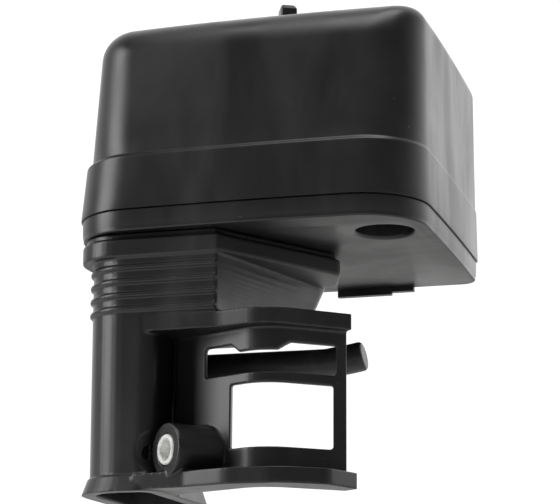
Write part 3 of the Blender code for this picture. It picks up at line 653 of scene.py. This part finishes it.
cutters = [flared_bore("intake_bore", *INTAKE, INTAKE_BORE, TRAY_LOW, 20, 1.6),
           slab("duct_bore", circle(*DUCT, DUCT_BORE, 96), -30, 0),
           slab("stud_bore", circle(0, 0, 6.8), -30, 0)]
cutters += [slab("screw_bore", circle(x, y, 4.6, 32), -30, 0) for x, y in SCREWS]
combine(tray, cutters, "DIFFERENCE")
smooth(tray)
dress(tray, "housing", cover_plastic, "black_plastic", "base_tray")
print("tray:", len(tray.data.polygons), "faces")

# %% [markdown]
# ## Elbow
# The elbow is the busy moulding: a flange, a ribbed funnel, a column, a hood, a windowed frame and a
# rim, all grown into each other. It is joined and hollowed with Booleans. Then one fine remesh and a
# few relaxing passes round all its edges alike, as a mould's polished corners do.

# %% Elbow
LEFT, FRONT, RIGHT, CORNER, WALL_3 = -70.8, -68.6, -8.5, 20, 3
FLANGE_TOP, FLANGE_LOW, FLANGE_STEP = -9.8, -20.5, 2.7
FUNNEL = ((1.5, 12, -46.6), (9, 17, -40), (14.5, 23, -28), (19, 29, -11.8))
COLUMN_RIGHT, COLUMN_BACK = -36, 2
SHARP, BACK_CORNERS, STEP_IN = 1.2, (8, 12), 1.6
BAND_LOW, BAND_HIGH = -20.3, -12.7
RIBS, RIB_TOP, RIB_PITCH, RIB_HEIGHT, RIB_OUT = 4, -24.2, 6.05, 1.9, 1.3
HOOD_LOW, HOOD_HIGH = -53.4, -46.4
RIM_LOW, RIM_HIGH = -120.8, -114.0
BOSS_DIAMETER, BOSS_LENGTH, BOSS_POCKET, BOSS_BORE = 22.4, 21.5, 27.5, 13.4
NIPPLE_ROUTE = ((-38, -20, -62), (0, -20, -62), (21.8, -20, -62), (27, -20, -61.9), (33, -20, -61.0),
                (38, -20, -60.3), (43.8, -20, -59.2))
NIPPLE_DIAMETER = 13
CARB_BORE, CARB_STUD_HOLE, CARB_STUDS_APART, CARB_FLANGE_DEPTH = 22, 8.6, 33, 8.5
FRAME_PATH, FRAME_RADII = [(-37, -38), (-33, -48.8), (13, -71), (42.6, -46.2)], (0, 3.2, 18, 0)
HOOD_PATH = [(-50, -64), (-44, -68.3), (-36, -68.7), (-8, -69.4), (16, -75.6), (45.5, -48.5)]
HOOD_RADII = (0, 2, 3, 25, 18, 0)
RIM_PATH = [(-44, -70.6), (-20, -74), (0, -81), (24, -81), (41, -69), (48, -50)]
RIM_RADII = (0, 12, 22, 20, 10, 0)
BOSS, BOSS_TURN = Vector((-28.6, -72, -104.7)), math.radians(40)
BOSS_AXIS = Vector((-math.sin(BOSS_TURN), -math.cos(BOSS_TURN), 0))
CARB = Vector((-29.5, -22, -88.5))


def shifted(points, distance):
    """An open path moved sideways, to its left as it runs."""
    moved = []
    for index, point in enumerate(points):
        here = Vector(point)
        near = points[max(index - 1, 0):index + 2]
        runs = [(Vector(b) - Vector(a)).normalized() for a, b in zip(near, near[1:])]
        normals = [Vector((-run.y, run.x)) for run in runs]
        mean = sum(normals, Vector((0, 0))).normalized()
        moved.append(tuple(here + mean * distance / mean.dot(normals[0])))
    return moved


def ledge(path, radii, depth):
    """A plan between a front path and a line behind the frame's outside."""
    inner = shifted(FRAME_PATH, depth)
    back = [(x, y, max(r - depth, 0.0)) for (x, y), r in zip(inner, FRAME_RADII)]
    return rounded([(x, y, r) for (x, y), r in zip(path, radii)] + back[::-1])


def grown(corners, distance):
    mid = Vector((sum(c[0] for c in corners), sum(c[1] for c in corners))) / len(corners)
    return rounded([(x + distance * math.copysign(1, x - mid.x), y + distance * math.copysign(1, y - mid.y),
                     r + distance) for x, y, r in corners])


def eased(values, share):
    """A value along a smooth curve through evenly counted stops; share runs from 0 to the last stop."""
    at = min(int(share), len(values) - 2)
    before, first, second, after = (values[min(max(at + k, 0), len(values) - 1)] for k in (-1, 0, 1, 2))
    t = share - at
    return 0.5 * (2 * first + (second - before) * t + (2 * before - 5 * first + 4 * second - after) * t ** 2
                  + (3 * first - before - 3 * second + after) * t ** 3)


def funnel(name, inset, low, high, steps=6):
    """The funnel's box: its back right corner is drawn out along a smooth curve as it rises."""
    xs, ys = [x for x, _, _ in FUNNEL], [y for _, y, _ in FUNNEL]
    levels = [low, FUNNEL[1][2], FUNNEL[2][2], high]
    rings = []
    for index in range(3 * steps + 1):
        share = index / steps
        at = min(int(share), 2)
        z = levels[at] + (levels[at + 1] - levels[at]) * (share - at)
        x, y = eased(xs, share), eased(ys, share)
        rings.append((rounded([(LEFT + inset, FRONT + inset, CORNER - inset),
                               (RIGHT - inset, FRONT + inset, SHARP),
                               (x - inset, y - inset, BACK_CORNERS[0]),
                               (LEFT + inset, y - inset, BACK_CORNERS[1])]), z))
    return loft(name, rings)


def swept(name, route, diameter):
    """A round bar along a smooth route; its end is closed with a soft edge."""
    points = [Vector(p) for p in route]
    count, shape, rings = 48, bmesh.new(), []
    radii = [diameter / 2] * len(points)
    tail = (points[-1] - points[-2]).normalized()
    end, edge = points[-1], 1.6
    points[-1] = end - tail * edge
    for a in quarter(5)[1:]:
        points.append(end - tail * edge * (1 - math.sin(a)))
        radii.append(diameter / 2 - edge * (1 - math.cos(a)))
    for index, point in enumerate(points):
        ahead = (points[min(index + 1, len(points) - 1)] - points[max(index - 1, 0)]).normalized()
        across, over = Vector((0, 1, 0)), ahead.cross(Vector((0, 1, 0)))
        turns = [2 * math.pi * k / count for k in range(count)]
        rings.append([shape.verts.new(point + radii[index] * (across * math.cos(t) + over * math.sin(t)))
                      for t in turns])
    for lower, upper in zip(rings, rings[1:]):
        for k in range(count):
            shape.faces.new((lower[k], lower[(k + 1) % count], upper[(k + 1) % count], upper[k]))
    shape.faces.new(rings[0][::-1])
    shape.faces.new(rings[-1])
    return as_object(name, shape)


def block(name, x, y, z, radius=0.0):
    return slab(name, rounded([(x[0], y[0], radius), (x[1], y[0], radius), (x[1], y[1], radius),
                               (x[0], y[1], radius)]), *z)


flange_left, flange_front, flange_right, flange_back = LEFT - 5, FRONT - 1.2, RIGHT + 1.2, 34
flange = rounded([(flange_left, flange_front, CORNER), (flange_right, flange_front, SHARP),
                  (flange_right, flange_back, BACK_CORNERS[0]), (flange_left, flange_back, BACK_CORNERS[1])])
step_left, step_front, step_back = flange_left + STEP_IN, flange_front + STEP_IN, flange_back - STEP_IN
step = rounded([(step_left, step_front, CORNER - STEP_IN), (RIGHT, step_front, SHARP),
                (RIGHT, step_back, BACK_CORNERS[0] - STEP_IN),
                (step_left, step_back, BACK_CORNERS[1] - STEP_IN)])
side_flange = rounded([(-30, -49, 0), (-10.6, -49, 0), (17.5, 30, 6), (12, 34, 5), (-30, 34, 0)])
side_band = rounded([(-30, -69.4, 0), (-7.6, -69.4, 1), (30, -9, 5), (22, 14.5, 6), (-30, 14.5, 0)])
band_step = rounded([(-30, -67, 0), (-9.1, -67, 1), (27.6, -8.2, 4), (20.6, 12.9, 5), (-30, 12.9, 0)])
elbow = slab("elbow_moulding", flange, FLANGE_LOW, FLANGE_TOP - FLANGE_STEP, 0.9)
column = [(LEFT, FRONT, CORNER), (COLUMN_RIGHT, FRONT, 7), (COLUMN_RIGHT, COLUMN_BACK, 8),
          (LEFT, COLUMN_BACK, BACK_CORNERS[1])]
foot = [(x + (0.8 if x < COLUMN_RIGHT else 0), y, r) for x, y, r in column]
post = loft("column", [(rounded(foot), -118.4), (rounded(column), -43.6)])
combine(post, [bar("boss_pocket", BOSS - BOSS_AXIS * 9, BOSS_AXIS, BOSS_POCKET, 30)], "DIFFERENCE")
parts = [slab("flange_step", step, FLANGE_TOP - FLANGE_STEP - 1, FLANGE_TOP),
         slab("side_flange", side_flange, -15.4, FLANGE_TOP),
         slab("side_band", side_band, BAND_LOW, BAND_HIGH, 0.9),
         slab("side_band_step", band_step, BAND_HIGH - 1, FLANGE_TOP - 0.2),
         funnel("funnel", 0, -46.6, -11.8), post]
for rib in range(RIBS):
    top = RIB_TOP - RIB_PITCH * rib
    plan = rounded([(LEFT - RIB_OUT, FRONT - RIB_OUT, CORNER + RIB_OUT), (RIGHT - 0.1, FRONT - RIB_OUT, 0.6),
                    (RIGHT - 0.1, 0, RIB_OUT), (LEFT - RIB_OUT, 0, BACK_CORNERS[1])])
    parts.append(slab(f"rib_{rib + 1}", plan, top - RIB_HEIGHT, top, 0.6))
parts += [slab("hood", ledge(HOOD_PATH, HOOD_RADII, 1.5), HOOD_LOW, HOOD_HIGH),
          loft("column_rim", [(grown(foot, 3.4), -121.4), (grown(foot, 1), -114.6)]),
          slab("rim", ledge(RIM_PATH, RIM_RADII, 1.5), RIM_LOW, RIM_HIGH)]
window_frame = slab("window_frame", ledge(FRAME_PATH, FRAME_RADII, 3), -120.4, -47.4)
upper = block("upper_window", (-16.9, 38.4), (-90, -30), (-72.8, -60), 0.0)
tab = [(rounded([(x0, -95, 0), (x1, -95, 0), (x1, -20, 0), (x0, -20, 0)]), z)
       for x0, x1, z in ((0.5, 17.5, -63.4), (-4.7, 23.3, -59))]
combine(upper, [loft("window_tab", tab)], "DIFFERENCE")
combine(window_frame, [upper, block("lower_window", (-3.4, 37.5), (-90, -30), (-104, -77.2))], "DIFFERENCE")
parts += [window_frame, bar("boss", BOSS, -BOSS_AXIS, BOSS_DIAMETER, BOSS_LENGTH),
          swept("nipple", NIPPLE_ROUTE, NIPPLE_DIAMETER)]
carb_plan = rounded([(-15, -23, 9), (15, -23, 9), (15, 23, 9), (-15, 23, 9)])
parts.append(loft("carb_flange", [(carb_plan, 0), (carb_plan, CARB_FLANGE_DEPTH)],
                  matrix=lying_along(CARB - Vector((CARB_FLANGE_DEPTH, 0, 0)), (1, 0, 0))))
combine(elbow, parts, "UNION")
bore = grown(foot, -WALL_3)
cutters = [funnel("duct", WALL_3, -43.6, FLANGE_TOP - 4.5), slab("column_bore", bore, -108, -40.6),
           slab("skirt_bore", bore, -123, -111), slab("duct_mouth", circle(*DUCT, DUCT_BORE), -20, 0),
           slab("elbow_stud_hole", circle(0, 0, 6.8), -20, 0),
           bar("boss_bore", BOSS + BOSS_AXIS, -BOSS_AXIS, BOSS_BORE, 40),
           bar("carb_bore", (-60, CARB.y, CARB.z), (1, 0, 0), CARB_BORE, 40)]
for side_of in (-1, 1):
    at = (-60, CARB.y + side_of * CARB_STUDS_APART / 2, CARB.z)
    cutters.append(bar(f"carb_stud_{side_of}", at, (1, 0, 0), CARB_STUD_HOLE, 40))
combine(elbow, cutters, "DIFFERENCE")
soften(elbow, 0.55, 2)
dress(elbow, "housing", elbow_plastic, "black_plastic", "intake_elbow")
print("elbow:", len(elbow.data.polygons), "faces")

# %% [markdown]
# ## Steel pieces
# The collar in the boss is cut from tube and chamfered, so it is turned from its profile. Its zinc steel is
# a paler, less metallic copy: painted light over real zinc plating. The element's wing nut is forged steel
# and the cover's is moulded with plumper wings: each is a conical hub and two upswept wings, joined, then
# remeshed finely and relaxed.

# %% Collar and wing nuts
COLLAR_PROFILE = [(4.6, 0.5), (5.0, 0.0), (6.0, 0.0), (6.4, 0.5), (6.4, 20.0), (6.0, 20.5), (5.0, 20.5),
                  (4.6, 20.0)]
collar = lathe("boss_collar", COLLAR_PROFILE, BOSS + BOSS_AXIS * 0.4, -BOSS_AXIS)
# The collar takes the pale copy of the zinc steel, whose brightness is painted light.
dress(collar, "housing", painted_lit_steel, "zinc_steel", "mount_collar")


def wing_nut(name, base, height, hub_height, half, body, material, slot):
    """A wing nut standing at base, with wings twice half thick; it stands for its body's own node."""
    nut = loft(name, [(circle(0, 0, 13), 0), (circle(0, 0, 12.4), hub_height * 0.5),
                      (circle(0, 0, 11), hub_height)])
    wings = []
    for side_of in (1, -1):
        thin = 0.84 * half
        foot_plan = rounded([(2, -half, 1), (8, -half, 1), (8, half, 1), (2, half, 1)])
        tip = rounded([(5.5, -half, 1.2), (14, -half, 1.2), (14, half, 1.2), (5.5, half, 1.2)])
        top = rounded([(7.5, -thin, 1.2), (12, -thin, 1.2), (12, thin, 1.2), (7.5, thin, 1.2)])
        sections = [(foot_plan, 1.2), (tip, height * 0.62), (tip, height - 2), (top, height)]
        wings.append(loft(f"{name}_wing", [([(side_of * x, side_of * y) for x, y in plan], z)
                                           for plan, z in sections]))
    combine(nut, wings, "UNION")
    combine(nut, [slab("nut_bore", circle(0, 0, 6.6, 48), -1, hub_height + 1)], "DIFFERENCE")
    spin = Matrix.Translation(CENTRE + Vector((0, 0, base * MM))) @ Matrix.Rotation(math.radians(-62), 4, "Z")
    nut.data.transform(spin @ Matrix.Translation(-CENTRE))
    soften(nut, 0.3, 3)
    return dress(nut, body, material, slot, body)


wing_nut("cover_wing_nut_moulded", 94.4, 16, 9, 3.8, "cover_wing_nut", elbow_plastic, "black_plastic")
wing_nut("element_wing_nut_forged", 55.4, 13, 7, 1.7, "element_wing_nut", steel, "zinc_steel")
print("collar and nuts made")

# %% [markdown]
# ## Filter element and foam
# The element is pleated paper between two moulded seals, with a wire screen inside. The paper is a
# folded ring, drawn as a zigzag outline inside and out. The foam sleeve is a soft wall that bulges a
# little between its ends, so it is turned with rounded rims and pushed in and out by a slow wave.

# %% Element and foam
PLEATS = 60
element_low, element_high = -6.7, 53.3
shape = bmesh.new()
inner_ring, outer_ring = 40.3, 47.3
thickness = 0.5
levels = (element_low + 6.3, element_high - 6.3)
rows = []
for z in levels:
    for offset in (-thickness / 2, thickness / 2):
        row = []
        for k in range(2 * PLEATS):
            a = math.pi * k / PLEATS
            r = (outer_ring if k % 2 else inner_ring) + offset
            row.append(shape.verts.new((r * math.cos(a), r * math.sin(a), z)))
        rows.append(row)
for first, second in ((0, 1), (1, 3), (3, 2), (2, 0)):
    for k in range(2 * PLEATS):
        after = (k + 1) % (2 * PLEATS)
        shape.faces.new((rows[first][k], rows[first][after], rows[second][after], rows[second][k]))
pleats = as_object("pleated_paper", shape)
dress(pleats, "element", paper, "filter_paper", "element_paper")

shape = bmesh.new()
around, tall = 96, 24
grid = [[shape.verts.new((38.9 * math.cos(2 * math.pi * (k + 0.5 * (j % 2)) / around),
                          38.9 * math.sin(2 * math.pi * (k + 0.5 * (j % 2)) / around),
                          levels[0] + (levels[1] - levels[0]) * j / tall)) for k in range(around)]
        for j in range(tall + 1)]
for j in range(tall):
    for k in range(around):
        after = (k + 1) % around
        if j % 2:
            shape.faces.new((grid[j][k], grid[j][after], grid[j + 1][after]))
            shape.faces.new((grid[j][k], grid[j + 1][after], grid[j + 1][k]))
        else:
            shape.faces.new((grid[j][k], grid[j][after], grid[j + 1][k]))
            shape.faces.new((grid[j][after], grid[j + 1][after], grid[j + 1][k]))
screen = as_object("wire_screen", shape)
wires = screen.modifiers.new("wires", "WIREFRAME")
wires.thickness = 0.5 * MM
wires.use_even_offset = False
bake(screen)
dress(screen, "element", steel, "zinc_steel", "element_screen")

sleeve_profile = []
inner_r, outer_r, low, high, edge = 48.8, 55.2, element_low, 51.3, 2.2
for centre_r, centre_z, start in ((outer_r - edge, low + edge, -90), (outer_r - edge, high - edge, 0),
                                  (inner_r + edge, high - edge, 90), (inner_r + edge, low + edge, 180)):
    for k in range(7):
        a = math.radians(start + 15 * k)
        sleeve_profile.append((centre_r + edge * math.cos(a), centre_z + edge * math.sin(a)))
    if start in (0, 180):
        continue
dense = []
for (r0, z0), (r1, z1) in zip(sleeve_profile, sleeve_profile[1:] + sleeve_profile[:1]):
    parts_here = 16 if abs(z1 - z0) > 20 else 1
    dense += [(r0 + (r1 - r0) * k / parts_here, z0 + (z1 - z0) * k / parts_here) for k in range(parts_here)]
sleeve = lathe("foam_sleeve_soft", dense, count=128)
for vertex in sleeve.data.vertices:
    local = vertex.co - CENTRE
    r, a, z = math.hypot(local.x, local.y) / MM, math.atan2(local.y, local.x), local.z / MM
    if r > 52:
        sag = 0.35 * math.sin(3 * a + 0.08 * z) + 0.25 * math.sin(7 * a - 0.2 * z) - 0.6
        scale = (r + sag) / r
        vertex.co.x = CENTRE.x + local.x * scale
        vertex.co.y = CENTRE.y + local.y * scale
dress(sleeve, "foam", foam, "foam", "foam_sleeve")
print("element and foam made")

# %% [markdown]
# ## Pieces kept from the frame
# Washers, nuts, screws, seals, stud, gasket and collars have the right shape in the frame already, so
# they stay and only take on their real finishes.

# %% Kept pieces
KEPT = {"centre_stud": steel, "stud_upper_nut": steel, "stud_upper_washer": steel, "stud_lower_nut": steel,
        "stud_lower_washer": steel, "tray_screw_1": steel, "tray_screw_2": steel, "tray_screw_3": steel,
        "carburettor_collar_front": steel, "carburettor_collar_back": steel, "cover_washer": steel,
        "element_washer": steel, "cover_seal": rubber, "element_top_seal": seal, "element_bottom_seal": seal,
        "carburettor_gasket": fibre}
for name, material in KEPT.items():
    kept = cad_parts[name]
    kept.data.materials.clear()
    kept.data.materials.append(material)
print("kept pieces:", len(KEPT))
